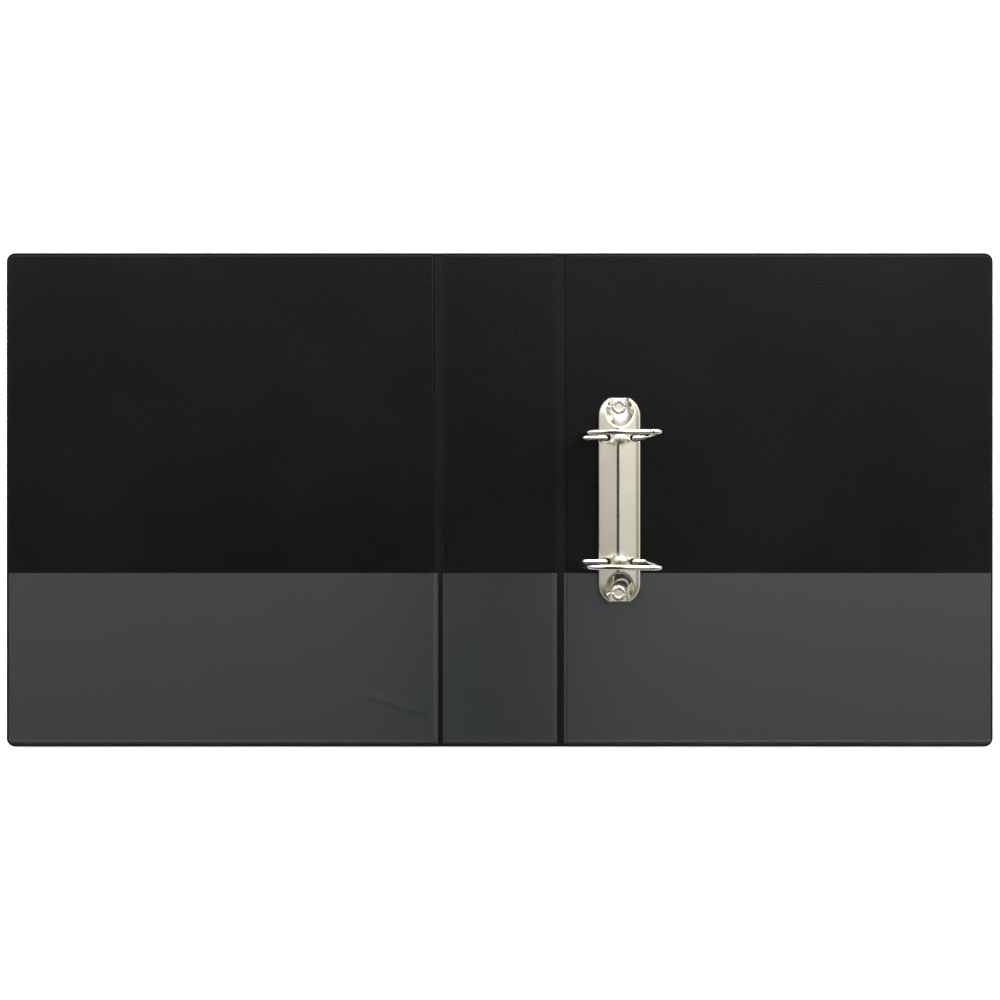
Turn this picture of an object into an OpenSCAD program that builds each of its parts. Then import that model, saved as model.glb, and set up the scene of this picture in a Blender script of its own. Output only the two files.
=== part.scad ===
// A4 two-ring D binder, lying open with its inside up.
// Millimetres. X runs across the open binder, from the front cover (-X) over the
// spine to the back cover (+X). Y runs along the spine, Z is up.
// The origin is on the table, under the middle of the spine.

/* [Cover] */
// Height of the binder, along the spine
cover_h = 324; // [260:1:400]
// Width of each cover, from its hinge band to its outer edge
cover_w = 280; // [230:1:340]
// Width of the spine between its two hinge bands
spine_w = 71.8; // [56:0.2:90]
// Width of each welded hinge band
hinge_w = 7.8; // [6:0.2:12]
// Radius of the outer corners
corner_r = 5.5; // [3:0.5:15]
// Width of the weld outside the boards
flange_w = 2; // [1:0.25:4]

/* [Layers] */
// Thickness of the greyboard in each panel
board_t = 2; // [1:0.1:3]
// Thickness of each PVC skin
skin_t = 0.35; // [0.2:0.05:0.6]
// Thickness of the pocket film
film_t = 0.2; // [0.1:0.05:0.4]
// Depth of the hinge bands' pressed weld line
weld_groove = 0.15; // [0.05:0.05:0.2]
// Width of the hinge bands' pressed weld line
weld_line_w = 4; // [2:0.25:5]
// Distance from the middle of the binder down to the pockets' open edge
pocket_drop = 48; // [10:1:60]

/* [Mechanism] */
// Distance from the back cover's hinge edge to the middle of the mechanism
mech_inset = 34.1; // [33:0.1:80]
// Distance between the rings: 80 is the two-hole standard
ring_pitch = 80; // [64:1:120]
// Distance from each ring to the end of the cover plate
plate_end = 26.5; // [24:0.5:40]
// Width of the cover plate
plate_w = 26.8; // [25:0.2:33]
// Height of the cover plate's arch above the lining
plate_h = 9.2; // [8:0.1:12]
// Height of the cover plate's upright edges
edge_h = 4.2; // [3.9:0.1:5]
// Thickness of the cover plate's sheet
sheet_t = 0.8; // [0.5:0.1:1]
// Width of the flat ledge along each long edge
ledge_w = 0.7; // [0.3:0.1:1.2]
// Distance from the rim of each pressed dish to the side of the cover plate
dish_margin = 2.6; // [2:0.1:5]
// Radius of the raised dimples between the slots
dimple_r = 5.5; // [4:0.5:8]
// Height of the raised dimples
dimple_h = 1.1; // [0.5:0.1:2]

/* [Rings] */
// Diameter of the ring wire
wire_d = 3.2; // [2.6:0.05:3.9]
// Height of the rings' upper strand above the lower strand
ring_h = 50; // [35:1:60]
// Distance from the middle of the mechanism to the feet in the hinge plates
foot_x = 8; // [7:0.1:9]
// Distance from the middle of the mechanism to the straight posts
post_x = 17.4; // [15:0.2:24]
// Distance from the middle of the mechanism to the outside of the curve
curve_x = 27.5; // [24:0.5:28]
// Distance from the middle of the mechanism to where the halves meet
seam_x = 10.8; // [0:0.2:11]
// Slope of the upper strand
strand_slope = 6; // [2:1:8]
// Outward lean of the curved side at its ends
side_lean = 10; // [5:1:12]
// Gap between the closed ring tips
tip_gap = 0.1; // [0.05:0.05:0.3]
// Angle that each hinge plate turns to open the rings
open_angle = 12; // [6:1:12]

/* [Rivets] */
// Diameter of the rolled flange and of the outer head
rivet_head_d = 10; // [8:0.2:12]
// Distance from each rolled flange to the end of the cover plate
rivet_margin = 0.5; // [0.3:0.1:2]
// Diameter of the shank
rivet_shank_d = 5.2; // [4:0.1:6]
// Diameter of the hollow in the shank
rivet_hollow_d = 4.2; // [2:0.1:5]
// Thickness of the flange and of the head
rivet_head_t = 0.8; // [0.5:0.1:1.2]

/* [Hidden] */
$fn = 64;
arch_fn = 180;
bend_fn = 48;

eps = 0.01; // the lap that joins two shapes into one
over = 1; // how far a cut runs past the face it opens
pvc_colour = [0.11, 0.11, 0.105];
board_colour = [0.62, 0.58, 0.5];
film_colour = [0.42, 0.44, 0.44, 0.6];
nickel_colour = [0.83, 0.81, 0.77];
inner_nickel_colour = [0.6, 0.59, 0.56];

// Heights of the panels' layers
panel_t = board_t + 2 * skin_t;
panel_mid = panel_t / 2;
mech_z = panel_t + film_t;

// The pockets reach from the lower weld up under the mechanism's lower end
pocket_h = cover_h / 2 - flange_w - pocket_drop;

// Places across the binder
spine_edge = spine_w / 2;
cover_edge = spine_edge + hinge_w;
hinge_x = spine_edge + hinge_w / 2;
mech_x = cover_edge + mech_inset;
min_corner_r = 1;

// Cover plate: an arch that stands on two upright edges
plate_l = ring_pitch + 2 * plate_end;
half_w = plate_w / 2;
end_cut = 1.3; // cut off each round end
arch_w = half_w - ledge_w;
arch_rise = plate_h - edge_h;
arch_r = (arch_w * arch_w + arch_rise * arch_rise) / (2 * arch_rise);
arch_z = plate_h - arch_r;
end_y = plate_l / 2 - half_w + end_cut;

// Rivet seats, and the dishes that lead down to them
rivet_pitch = plate_l - 2 * rivet_margin - rivet_head_d;
dish_offset = 3.5; // from each rivet to the middle of its dish
dish_y = rivet_pitch / 2 - dish_offset;
dish_r = half_w - dish_margin;
seat_play = 0.3;
seat_r = rivet_head_d / 2 + seat_play;
end_flat = seat_r + 2 * seat_play;

// Slots for the rings
slot_play = 0.7; // on both sides of the wire
foot_play = 0.4; // from the foot to the inner end of the slot
slot_w = wire_d + 2 * slot_play;
slot_x = foot_x - wire_d / 2 - foot_play;
slot_z = 3.6;
dimple_shift = 0.5; // from the rings toward the middle of the plate

// Hinge plates: they turn on their outer edges, in grooves of the cover plate
leaf_t = 1;
leaf_end_gap = 1.3; // from each dish
leaf_l = 2 * (dish_y - dish_r - sheet_t - leaf_end_gap);
leaf_gap = 0.15;
edge_play = 0.1;
pivot_x = half_w - sheet_t - edge_play - leaf_t / 2;
pivot_z = 2.7;
rest_tilt = open_angle / 2;
leaf_w = pivot_x - leaf_gap;
lip_t = 0.9;
lip_in = 0.9;
lip_z = 1.1;

// Rings: every height is above the cover plate's base
foot_sunk = 0.25; // below the middle of the hinge plate
foot_z = leaf_height(foot_x) - foot_sunk;
root_bend = 2.2;
strand_z = 6.5;
post_bottom_r = 5;
post_top_r = 4;
curve_bottom_r = 4;
curve_top_r = 8;
tip_chamfer = 0.35;
tip_cut = tip_chamfer + tip_gap / 2;
post_end_z = strand_z + ring_h - post_top_r;
post_run_x = post_x - post_top_r * (1 + sin(strand_slope));

// Where the two halves meet
seam_z = post_end_z + post_top_r * cos(strand_slope)
       - (post_run_x - seam_x) * tan(strand_slope);

// The curved side's bend and the upper strand's length follow from the height
// and the width that the curved half has to span
bulge_share = 1 - cos(side_lean);
reach = seam_x + curve_x - curve_top_r * (cos(side_lean) - sin(strand_slope));
climb = seam_z - strand_z - curve_bottom_r * (1 - sin(side_lean))
      - curve_top_r * (cos(strand_slope) - sin(side_lean));
side_r = (climb - reach * tan(strand_slope))
       / (2 * sin(side_lean) - bulge_share * tan(strand_slope));
upper_run = (reach - side_r * bulge_share) / cos(strand_slope);
low_end_x = curve_x - side_r * bulge_share - curve_bottom_r * cos(side_lean);

// Straight half: foot, lower strand, post, a short upper strand
straight_steps = [
    [strand_z - root_bend - foot_z],
    [root_bend, -90],
    [post_x - post_bottom_r - foot_x - root_bend],
    [post_bottom_r, 90],
    [post_end_z - strand_z - post_bottom_r],
    [post_top_r, 90 + strand_slope],
    [(post_run_x - seam_x) / cos(strand_slope) - tip_cut]
];

// Curved half: foot, lower strand, bowed side, upper strand
curved_steps = [
    [strand_z - root_bend - foot_z],
    [root_bend, 90],
    [low_end_x - foot_x - root_bend],
    [curve_bottom_r, side_lean - 90],
    [side_r, -2 * side_lean],
    [curve_top_r, side_lean + strand_slope - 90],
    [upper_run - tip_cut]
];

rivet_fit = 0.05;
rivet_bevel = 0.2;

// Height of the middle of a resting hinge plate at a distance from the middle
function leaf_height(x) = pivot_z - (pivot_x - x) * tan(rest_tilt);

// ---------- covers and spine ----------

// A panel outline that starts at X = 0 and has round corners at its far end
module cover_outline(length, height, r) {
    translate([0, -height / 2]) square([length - r, height]);
    translate([0, -height / 2 + r]) square([length, height - 2 * r]);
    for (side = [-1, 1])
        translate([length - r, side * (height / 2 - r)]) circle(r);
}

// Outline of a cover, drawn in by an inset on its three free sides and by
// another one on its hinge side
module cover_shape(inset, hinge_inset = 0) {
    translate([cover_edge + hinge_inset, 0])
        cover_outline(cover_w - inset - hinge_inset, cover_h - 2 * inset,
                      max(corner_r - inset, min_corner_r));
}

module spine_shape(inset, hinge_inset = 0) {
    square([spine_w - 2 * hinge_inset, cover_h - 2 * inset], center = true);
}

// One PVC skin over the upper half of a board: children 0, 1 and 2 are the
// outlines of the whole panel, of the raised part and of the board
module skin_over_board() {
    difference() {
        union() {
            translate([0, 0, panel_mid]) linear_extrude(skin_t) children(0);
            translate([0, 0, panel_mid]) linear_extrude(panel_t - panel_mid) children(1);
        }
        translate([0, 0, -eps]) linear_extrude(panel_t - skin_t + eps) children(2);
    }
}

module cover_skin() {
    skin_over_board() {
        cover_shape(0);
        cover_shape(flange_w);
        cover_shape(flange_w + skin_t, skin_t);
    }
}

module spine_skin() {
    skin_over_board() {
        spine_shape(0);
        spine_shape(flange_w);
        spine_shape(flange_w + skin_t, skin_t);
    }
}

// The outer skin is the inner one turned over
module turned_over() {
    translate([0, 0, panel_t]) mirror([0, 0, 1]) children();
}

module cover_board() {
    translate([0, 0, skin_t]) linear_extrude(board_t)
        cover_shape(flange_w + skin_t, skin_t);
}

module spine_board_shape() {
    translate([0, 0, skin_t]) linear_extrude(board_t)
        spine_shape(flange_w + skin_t, skin_t);
}

// The lower part of a panel outline, as high as the pocket
module pocket_shape() {
    open_w = 2 * (cover_edge + cover_w);
    intersection() {
        children();
        translate([-open_w / 2, -cover_h / 2]) square([open_w, flange_w + pocket_h]);
    }
}

module pocket_film() {
    translate([0, 0, panel_t]) linear_extrude(film_t) pocket_shape() children();
}

// Both skins welded into one strip, pressed thinner along its middle
module hinge_weld() {
    translate([spine_edge, -cover_h / 2, panel_mid]) difference() {
        translate([0, 0, -skin_t]) cube([hinge_w, cover_h, 2 * skin_t]);
        for (face = [0, 1]) mirror([0, 0, face])
            translate([(hinge_w - weld_line_w) / 2, -over, skin_t - weld_groove])
                cube([weld_line_w, cover_h + 2 * over, weld_groove + over]);
    }
}

// Holes for both rivets, through whatever the child is
module riveted(counterbore = false) {
    difference() {
        children();
        for (side = [-1, 1])
            translate([mech_x, side * rivet_pitch / 2, -over]) {
                cylinder(h = mech_z + 2 * over, d = rivet_shank_d + 2 * rivet_fit);
                if (counterbore)
                    cylinder(h = rivet_head_t + over, d = rivet_head_d + 2 * rivet_fit);
            }
    }
}

module front_outer_skin() { color(pvc_colour) mirror([1, 0, 0]) turned_over() cover_skin(); }
module front_board() { color(board_colour) mirror([1, 0, 0]) cover_board(); }
module front_inner_skin() { color(pvc_colour) mirror([1, 0, 0]) cover_skin(); }
module front_pocket_film() {
    color(film_colour) mirror([1, 0, 0]) pocket_film() cover_shape(flange_w);
}

module spine_outer_skin() { color(pvc_colour) turned_over() spine_skin(); }
module spine_board() { color(board_colour) spine_board_shape(); }
module spine_inner_skin() { color(pvc_colour) spine_skin(); }
module spine_pocket_film() { color(film_colour) pocket_film() spine_shape(flange_w); }

module back_outer_skin() { color(pvc_colour) riveted(true) turned_over() cover_skin(); }
module back_board() { color(board_colour) riveted(true) cover_board(); }
module back_inner_skin() { color(pvc_colour) riveted() cover_skin(); }
module back_pocket_film() { color(film_colour) riveted() pocket_film() cover_shape(flange_w); }

module front_hinge_weld() { color(pvc_colour) mirror([1, 0, 0]) hinge_weld(); }
module back_hinge_weld() { color(pvc_colour) hinge_weld(); }

// ---------- mechanism ----------

// Cross-section of the cover plate's outside, or of its inside one sheet in
module arch_section(sheet) {
    intersection() {
        translate([0, arch_z]) circle(arch_r - sheet, $fn = arch_fn);
        translate([-arch_w + sheet, 0]) square([2 * (arch_w - sheet), plate_h]);
    }
    translate([-half_w + sheet, 0]) square([2 * (half_w - sheet), edge_h - sheet]);
}

// The arch along the plate, with ends as round as the plate is wide
module arch_body(sheet) {
    rotate([90, 0, 0]) linear_extrude(2 * end_y, center = true) arch_section(sheet);
    for (turn = [0, 180])
        rotate([0, 0, turn]) translate([0, end_y, 0])
            rotate_extrude(angle = 180, start = 0) intersection() {
                arch_section(sheet);
                square([half_w, plate_h]);
            }
}

// The dish pressed into each end, down to the rivet's seat. A wall wraps the
// same shape for the sheet round it.
module dish(wall) {
    hull() {
        translate([0, rivet_pitch / 2, sheet_t - wall])
            cylinder(h = eps, r = seat_r + wall);
        translate([0, dish_y, plate_h])
            cylinder(h = over, r = dish_r + wall);
    }
    if (wall == 0)
        translate([-end_flat, rivet_pitch / 2, sheet_t]) cube([2 * end_flat, half_w, plate_h]);
}

module both_ends() {
    for (side = [0, 1]) mirror([0, side, 0]) children();
}

module both_sides() {
    for (side = [0, 1]) mirror([side, 0, 0]) children();
}

module ring_slot() {
    translate([slot_x + slot_w / 2, ring_pitch / 2, slot_z]) {
        cylinder(h = plate_h, d = slot_w);
        translate([0, -slot_w / 2, 0]) cube([half_w, slot_w, plate_h]);
    }
}

module plate_lip() {
    translate([half_w - sheet_t - lip_in, -leaf_l / 2, lip_z])
        cube([lip_in + sheet_t / 2, leaf_l, lip_t]);
}

module dimple(sheet) {
    translate([0, ring_pitch / 2 - dimple_shift, plate_h + dimple_h - dimple_r])
        intersection() {
            sphere(dimple_r - sheet);
            translate([-dimple_r, -dimple_r, 0]) cube([2 * dimple_r, 2 * dimple_r, dimple_r]);
        }
}

module mechanism_cover_plate() {
    color(nickel_colour) translate([mech_x, 0, mech_z]) {
        difference() {
            union() {
                difference() {
                    arch_body(0);
                    both_ends() dish(0);
                }
                both_ends() dimple(0);
            }
            difference() {
                translate([0, 0, -eps]) arch_body(sheet_t);
                both_ends() dish(sheet_t);
            }
            both_ends() {
                dimple(sheet_t);
                both_sides() ring_slot();
                translate([-half_w, plate_l / 2, -over])
                    cube([plate_w, half_w, plate_h + 2 * over]);
                translate([0, rivet_pitch / 2, -over])
                    cylinder(h = sheet_t + 2 * over, d = rivet_shank_d + 2 * rivet_fit);
            }
        }
        both_sides() plate_lip();
    }
}

// The hinge plate on the +X side. Its outer edge is round, for its groove.
module leaf() {
    difference() {
        translate([pivot_x, 0, pivot_z]) rotate([0, -rest_tilt, 0]) {
            rotate([90, 0, 0]) cylinder(h = leaf_l, d = leaf_t, center = true);
            translate([-leaf_w, -leaf_l / 2, -leaf_t / 2]) cube([leaf_w, leaf_l, leaf_t]);
        }
        both_ends() translate([foot_x, ring_pitch / 2, foot_z])
            cylinder(h = 2 * leaf_t, d = wire_d);
    }
}

module right_hinge_plate() { color(inner_nickel_colour) translate([mech_x, 0, mech_z]) leaf(); }
module left_hinge_plate() {
    color(inner_nickel_colour) translate([mech_x, 0, mech_z]) mirror([1, 0, 0]) leaf();
}

// ---------- rings ----------

// Wire bent in the XY plane, from the origin along +X. Each step is [length]
// for a straight run, or [radius, angle] for a bend, to the left if positive.
// A hair-thin collar at each joint laps over both of its ends.
module wire(steps, i = 0) {
    if (i > 0)
        rotate([0, 90, 0]) cylinder(h = 2 * eps, d = wire_d + 2 * eps, center = true);
    if (i == len(steps))
        rotate([0, 90, 0])
            cylinder(h = tip_chamfer, d1 = wire_d, d2 = wire_d - 2 * tip_chamfer);
    else if (len(steps[i]) == 1)
        wire_run(steps[i][0]) wire(steps, i + 1);
    else
        wire_bend(steps[i][0], steps[i][1]) wire(steps, i + 1);
}

module wire_run(length) {
    rotate([0, 90, 0]) cylinder(h = length, d = wire_d);
    translate([length, 0, 0]) children();
}

module wire_bend(radius, turn) {
    side = turn > 0 ? 1 : -1;
    translate([0, side * radius, 0]) {
        rotate([0, 0, turn > 0 ? -90 : 90 + turn])
            rotate_extrude(angle = abs(turn), $fn = bend_fn + 4 * radius)
                translate([radius, 0]) circle(d = wire_d);
        rotate([0, 0, turn]) translate([0, -side * radius, 0]) children();
    }
}

// A ring half stands up from its foot in the hinge plate, in the XZ plane
module ring_half(side, steps) {
    color(nickel_colour)
        translate([mech_x + side * foot_x, 0, mech_z + foot_z])
            rotate([90, 0, 0]) rotate([0, 0, 90]) wire(steps);
}

module at_ring(side) {
    translate([0, side * ring_pitch / 2, 0]) children();
}

module upper_straight_ring_half() { at_ring(1) ring_half(1, straight_steps); }
module lower_straight_ring_half() { at_ring(-1) ring_half(1, straight_steps); }
module upper_curved_ring_half() { at_ring(1) ring_half(-1, curved_steps); }
module lower_curved_ring_half() { at_ring(-1) ring_half(-1, curved_steps); }

// ---------- rivets ----------

// Half of the rolled flange's section: a low dome from the hollow to the rim
module rolled_flange() {
    width = (rivet_head_d - rivet_hollow_d) / 2;
    rise = rivet_head_t;
    dome_r = (width * width / 4 + rise * rise) / (2 * rise);
    rotate_extrude() intersection() {
        translate([rivet_hollow_d / 2 + width / 2, rise - dome_r]) circle(dome_r);
        translate([rivet_hollow_d / 2, 0]) square([width, rise]);
    }
}

module rivet(side) {
    seat_z = mech_z + sheet_t;
    color(nickel_colour) translate([mech_x, side * rivet_pitch / 2, 0]) difference() {
        union() {
            cylinder(h = rivet_bevel, d1 = rivet_head_d - 2 * rivet_bevel, d2 = rivet_head_d);
            translate([0, 0, rivet_bevel])
                cylinder(h = rivet_head_t - rivet_bevel, d = rivet_head_d);
            cylinder(h = seat_z + rivet_head_t / 2, d = rivet_shank_d);
            translate([0, 0, seat_z]) rolled_flange();
        }
        translate([0, 0, 2 * rivet_head_t]) cylinder(h = seat_z, d = rivet_hollow_d);
    }
}

module upper_rivet() { rivet(1); }
module lower_rivet() { rivet(-1); }

front_outer_skin();
front_board();
front_inner_skin();
front_pocket_film();
spine_outer_skin();
spine_board();
spine_inner_skin();
spine_pocket_film();
back_outer_skin();
back_board();
back_inner_skin();
back_pocket_film();
front_hinge_weld();
back_hinge_weld();
mechanism_cover_plate();
left_hinge_plate();
right_hinge_plate();
upper_curved_ring_half();
lower_curved_ring_half();
upper_straight_ring_half();
lower_straight_ring_half();
upper_rivet();
lower_rivet();
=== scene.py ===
import math

import bmesh
import bpy
from mathutils import Matrix, Vector


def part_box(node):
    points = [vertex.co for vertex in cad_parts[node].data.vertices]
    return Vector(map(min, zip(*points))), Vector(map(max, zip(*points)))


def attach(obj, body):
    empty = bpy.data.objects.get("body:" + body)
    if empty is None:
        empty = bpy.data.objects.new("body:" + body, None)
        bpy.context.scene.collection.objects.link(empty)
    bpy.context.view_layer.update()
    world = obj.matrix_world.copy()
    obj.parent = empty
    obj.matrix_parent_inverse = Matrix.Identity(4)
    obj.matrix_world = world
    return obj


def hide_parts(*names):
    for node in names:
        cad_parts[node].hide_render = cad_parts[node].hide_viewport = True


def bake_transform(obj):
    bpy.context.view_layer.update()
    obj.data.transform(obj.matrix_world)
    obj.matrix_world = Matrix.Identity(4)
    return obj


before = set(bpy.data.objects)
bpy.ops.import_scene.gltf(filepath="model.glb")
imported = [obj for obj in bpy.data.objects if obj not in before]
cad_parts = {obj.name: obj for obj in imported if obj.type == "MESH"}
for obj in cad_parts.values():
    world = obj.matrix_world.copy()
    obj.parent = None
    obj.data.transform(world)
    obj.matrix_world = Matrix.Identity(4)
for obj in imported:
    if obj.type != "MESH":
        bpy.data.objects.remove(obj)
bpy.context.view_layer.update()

mm = 0.001

# ---------- sizes that the frame gives ----------

skin_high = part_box("back_inner_skin")[1]
band_low, band_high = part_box("back_hinge_weld")
film_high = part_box("back_pocket_film")[1]
plate_low, plate_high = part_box("mechanism_cover_plate")
rivet_low, rivet_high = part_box("upper_rivet")

SPINE_EDGE = band_low.x
COVER_EDGE = band_high.x
COVER_END = skin_high.x
HALF_H = skin_high.y
PANEL_TOP = skin_high.z
PANEL_MID = PANEL_TOP / 2
BAND_W = COVER_EDGE - SPINE_EDGE
POCKET_TOP_Y = film_high.y
MECH_X = (plate_low.x + plate_high.x) / 2
MECH_Z = plate_low.z
PLATE_HALF_W = (plate_high.x - plate_low.x) / 2
PLATE_END_Y = plate_high.y
RIVET_Y = (rivet_low.y + rivet_high.y) / 2
RING_Y = 40 * mm

# ---------- sizes of the layers ----------

SKIN_T = 0.35 * mm
FLANGE_W = 2 * mm
CORNER_R = 5.5 * mm
CORNER_SEGMENTS = 10
BAND_TOP = PANEL_MID + SKIN_T

# The skin's edge from the outline inwards, as (inset, rise) in mm: the rounded rim of
# the weld, the flange, the pressed weld line, then the drape over the board
SKIN_EDGE = [
    (0.10, 0.12), (0.12, 0.07), (0.60, 0.01), (0.18, -0.07), (0.30, 0.0), (0.18, 0.07),
    (0.52, 0.0), (0.03, 0.16), (0.03, 0.24), (0.04, 0.24), (0.06, 0.18), (0.09, 0.11),
    (0.14, 0.05), (0.30, 0.02), (0.6, 0.0),
]
RIM_Z = 0.15 * mm


# ---------- helpers ----------

def piece_from(bm, name, material, body=None, sharp=35):
    """Makes a finished object of a bmesh and, if a body is named, lets it ride there."""
    mesh = bpy.data.meshes.new(name)
    bm.to_mesh(mesh)
    bm.free()
    for polygon in mesh.polygons:
        polygon.use_smooth = True
    mesh.set_sharp_from_angle(angle=math.radians(sharp))
    mesh.materials.append(material)
    piece = bpy.data.objects.new(name, mesh)
    bpy.context.scene.collection.objects.link(piece)
    if body:
        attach(piece, body)
    return piece


def apply_modifiers(piece):
    """Keeps what the modifiers made as the piece's own mesh."""
    depsgraph = bpy.context.evaluated_depsgraph_get()
    made = bpy.data.meshes.new_from_object(piece.evaluated_get(depsgraph))
    piece.modifiers.clear()
    piece.data = made
    made.set_sharp_from_angle(angle=math.radians(35))


def sheet_grid(bm, xs, ys):
    """A grid whose lines run through the given places."""
    made = bmesh.ops.create_grid(bm, x_segments=len(xs) - 1, y_segments=len(ys) - 1, size=0.5)
    for vert in made["verts"]:
        column = round((vert.co.x + 0.5) * (len(xs) - 1))
        row = round((vert.co.y + 0.5) * (len(ys) - 1))
        vert.co = Vector((xs[column], ys[row], 0))
    return made["verts"]


def evenly(start, end, step):
    """Places from start to end, about a step apart."""
    count = max(1, round(abs(end - start) / step))
    return [start + (end - start) * i / count for i in range(count + 1)]


def smooth_step(low, high, value):
    t = min(1, max(0, (value - low) / (high - low)))
    return t * t * (3 - 2 * t)


def soft_min(a, b, k):
    h = max(k - abs(a - b), 0) / k
    return min(a, b) - h * h * k / 4


def hump(value, middle, width):
    return math.exp(-((value - middle) / width) ** 2)


# ---------- materials ----------

def node_group(name, inputs, outputs):
    """An empty shader group with these sockets, each (name, type, default or None)."""
    group = bpy.data.node_groups.new(name, "ShaderNodeTree")
    for label, kind, default in inputs:
        socket = group.interface.new_socket(label, in_out="INPUT", socket_type=kind)
        if default is not None:
            socket.default_value = default
    for label, kind in outputs:
        group.interface.new_socket(label, in_out="OUTPUT", socket_type=kind)
    nodes = group.nodes
    return group, nodes.new("NodeGroupInput"), nodes.new("NodeGroupOutput")


def add_math(tree, operation, a, b=0.0, clamp=False):
    """A Math node; a and b are numbers or sockets."""
    node = tree.nodes.new("ShaderNodeMath")
    node.operation = operation
    node.use_clamp = clamp
    for socket, value in zip(node.inputs, (a, b)):
        if isinstance(value, (int, float)):
            socket.default_value = value
        else:
            tree.links.new(value, socket)
    return node.outputs[0]


def add_range(tree, value, from_low, from_high, to_low, to_high):
    node = tree.nodes.new("ShaderNodeMapRange")
    tree.links.new(value, node.inputs["Value"])
    node.inputs["From Min"].default_value = from_low
    node.inputs["From Max"].default_value = from_high
    node.inputs["To Min"].default_value = to_low
    node.inputs["To Max"].default_value = to_high
    return node.outputs["Result"]


def add_noise(tree, vector, scale, detail=2.0, roughness=0.5):
    node = tree.nodes.new("ShaderNodeTexNoise")
    tree.links.new(vector, node.inputs["Vector"])
    if isinstance(scale, (int, float)):
        node.inputs["Scale"].default_value = scale
    else:
        tree.links.new(scale, node.inputs["Scale"])
    node.inputs["Detail"].default_value = detail
    node.inputs["Roughness"].default_value = roughness
    return node.outputs["Fac"]


def add_colour_mix(tree, factor, first, second):
    node = tree.nodes.new("ShaderNodeMix")
    node.data_type = "RGBA"
    tree.links.new(factor, node.inputs[0])
    for socket, value in zip((node.inputs[6], node.inputs[7]), (first, second)):
        if isinstance(value, tuple):
            socket.default_value = (*value, 1)
        else:
            tree.links.new(value, socket)
    return node.outputs[2]


def leather_grain_group():
    """Fine pebbled grain, as on an embossed PVC sheet, with painted shade for the hollows between
    its pebbles.
    """
    group, given, out = node_group(
        "leather_grain",
        [("Vector", "NodeSocketVector", None), ("Cells per Metre", "NodeSocketFloat", 900.0)],
        [("Height", "NodeSocketFloat"), ("Crease Shade", "NodeSocketFloat")])
    links = group.links
    warp = group.nodes.new("ShaderNodeTexNoise")
    warp.inputs["Scale"].default_value = 700
    warp.inputs["Detail"].default_value = 2
    links.new(given.outputs["Vector"], warp.inputs["Vector"])
    shift = group.nodes.new("ShaderNodeVectorMath")
    shift.operation = "MULTIPLY_ADD"
    links.new(warp.outputs["Color"], shift.inputs[0])
    shift.inputs[1].default_value = (0.0007, 0.0007, 0.0007)
    links.new(given.outputs["Vector"], shift.inputs[2])
    cells = group.nodes.new("ShaderNodeTexVoronoi")
    cells.feature = "SMOOTH_F1"
    cells.inputs["Smoothness"].default_value = 0.6
    links.new(shift.outputs[0], cells.inputs["Vector"])
    links.new(given.outputs["Cells per Metre"], cells.inputs["Scale"])
    pebble = add_range(group, cells.outputs["Distance"], 0.15, 0.75, 1.0, 0.0)
    fine = add_noise(group, given.outputs["Vector"], 4200, 3, 0.6)
    mixed = add_math(group, "MULTIPLY_ADD", fine, 0.35)
    links.new(pebble, mixed.node.inputs[2])
    links.new(mixed, out.inputs["Height"])
    # Painted shade: a mask of the hollows between the pebbles, which darkens the base colour
    creases = add_range(group, cells.outputs["Distance"], 0.45, 0.8, 0.0, 1.0)
    links.new(creases, out.inputs["Crease Shade"])
    return group


def handling_group():
    """Broad, faint marks from handling, and finer ones inside them."""
    group, given, out = node_group(
        "handling",
        [("Vector", "NodeSocketVector", None), ("Patches per Metre", "NodeSocketFloat", 14.0)],
        [("Broad", "NodeSocketFloat"), ("Fine", "NodeSocketFloat")])
    broad = add_noise(group, given.outputs["Vector"], given.outputs["Patches per Metre"], 4, 0.55)
    group.links.new(add_range(group, broad, 0.35, 0.65, 0, 1), out.inputs["Broad"])
    fine = add_noise(group, given.outputs["Vector"], 420, 3, 0.6)
    group.links.new(add_range(group, fine, 0.35, 0.65, 0, 1), out.inputs["Fine"])
    return group


LEATHER_GRAIN = leather_grain_group()
HANDLING = handling_group()


class Finish:
    """A material with its shader, its place coordinates and short ways to add nodes."""

    def __init__(self, name, **values):
        self.material = bpy.data.materials.new(name)
        self.material.use_nodes = True
        self.tree = self.material.node_tree
        self.shader = self.tree.nodes["Principled BSDF"]
        for label, value in values.items():
            self.shader.inputs[label.replace("_", " ")].default_value = value
        place = self.tree.nodes.new("ShaderNodeTexCoord")
        self.place = place.outputs["Object"]

    def use(self, group, **values):
        node = self.tree.nodes.new("ShaderNodeGroup")
        node.node_tree = group
        self.tree.links.new(self.place, node.inputs["Vector"])
        for label, value in values.items():
            node.inputs[label.replace("_", " ")].default_value = value
        return node

    def feed(self, label, socket):
        self.tree.links.new(socket, self.shader.inputs[label])

    def bump(self, height, strength, distance):
        node = self.tree.nodes.new("ShaderNodeBump")
        node.inputs["Strength"].default_value = strength
        node.inputs["Distance"].default_value = distance
        self.tree.links.new(height, node.inputs["Height"])
        self.feed("Normal", node.outputs["Normal"])

    def stretched(self, x, y, z):
        node = self.tree.nodes.new("ShaderNodeMapping")
        node.inputs["Scale"].default_value = (x, y, z)
        self.tree.links.new(self.place, node.inputs["Vector"])
        return node.outputs["Vector"]


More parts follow.
